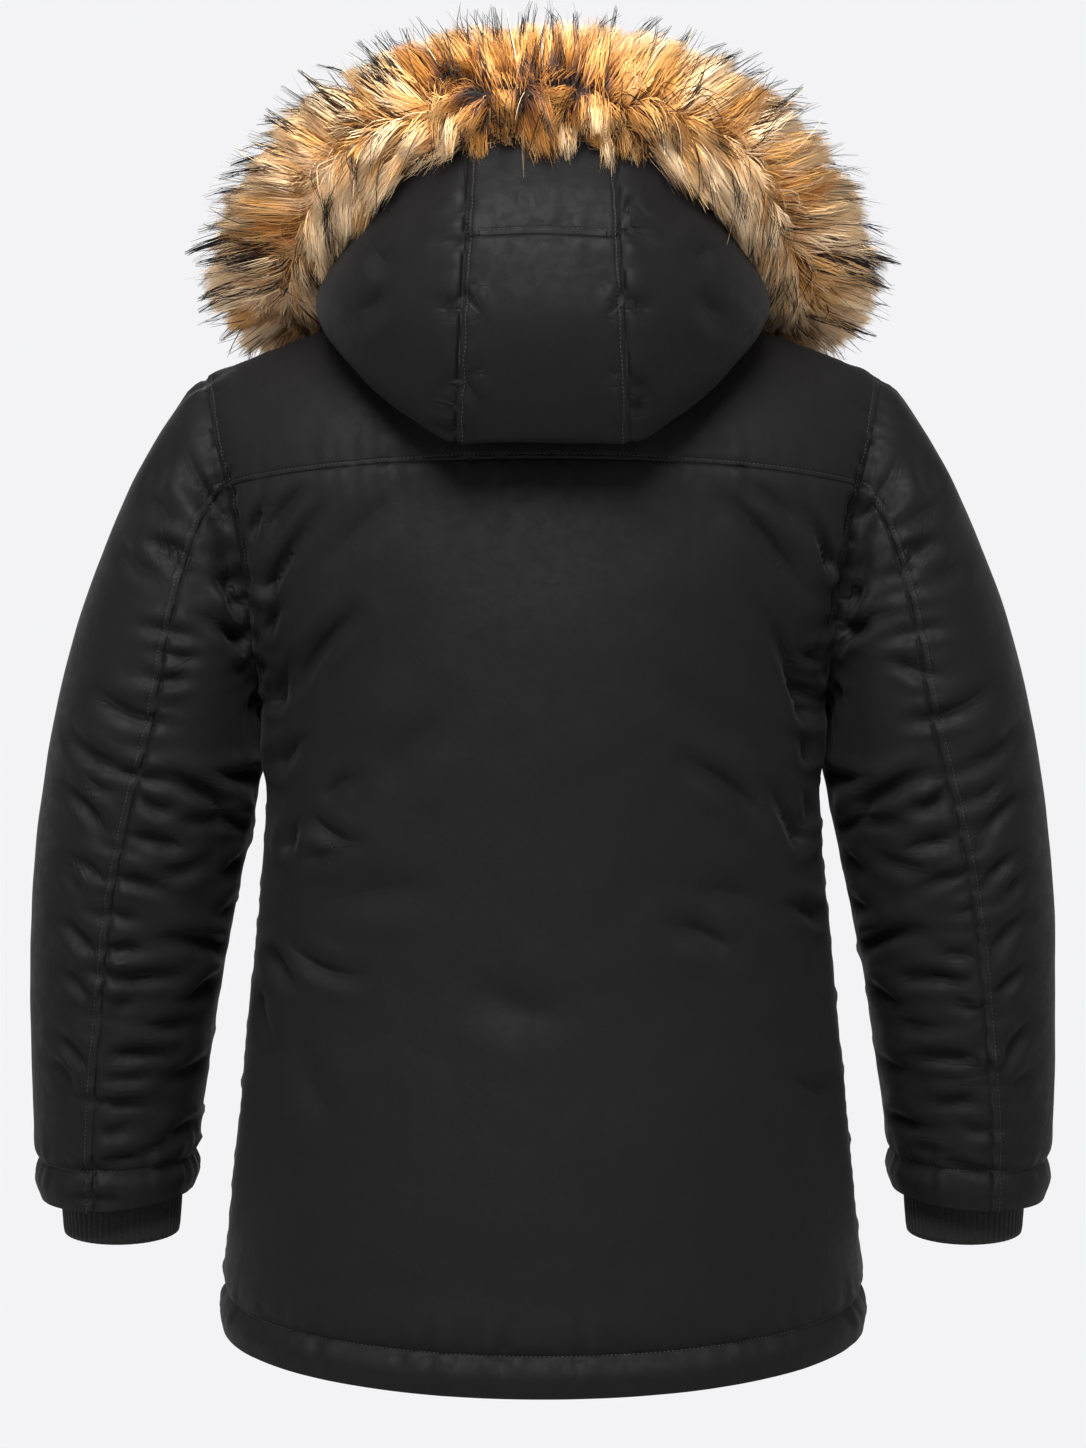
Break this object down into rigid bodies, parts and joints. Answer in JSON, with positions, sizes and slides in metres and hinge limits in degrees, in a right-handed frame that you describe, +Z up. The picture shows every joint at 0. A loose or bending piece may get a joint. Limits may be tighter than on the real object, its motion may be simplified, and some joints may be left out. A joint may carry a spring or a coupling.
{
  "type": "parka",
  "caption": "Padded hip-length parka with a back yoke, two-piece sleeves, ribbed inner cuffs and a seamed hood lying back, edged with long brown fur.",
  "frame": {"origin": "middle of the neck opening at the height of the nape, where the wearer's neck holds the coat", "axes": "+Z up, -Y the way the wearer faces, +X towards the wearer's left arm"},
  "size_m": [0.7512, 0.3813, 0.9568],
  "materials": {
    "shell_cloth": "matte fine weave",
    "rib_knit": "matte ribbed knit",
    "fur": "long soft hair, brown with cream and black",
    "zip_tape": "matte woven tape",
    "zip_metal": "dark satin"
  },
  "bodies": {
    "coat": {"back_panel": "shell_cloth", "back_yoke": "shell_cloth", "front_left": "shell_cloth", "front_right": "shell_cloth", "sleeve_top_left": "shell_cloth", "sleeve_top_right": "shell_cloth", "sleeve_under_left": "shell_cloth", "sleeve_under_right": "shell_cloth", "rib_cuff_left": "rib_knit", "rib_cuff_right": "rib_knit", "hood_back": "shell_cloth", "hood_crown": "shell_cloth", "hood_side_left": "shell_cloth", "hood_side_right": "shell_cloth", "fur_ruff": "fur", "zip_tape": "zip_tape", "zip_slider": "zip_metal"},
    "pull": {"zip_pull": "zip_metal"}
  },
  "joints": [
    {"name": "pull_swing", "type": "hinge", "parent": "coat", "child": "pull", "pos_m": [0, -0.09992, -0.06311], "axis": [-1, 0, 0], "range_deg": [0, 120]}
  ]
}
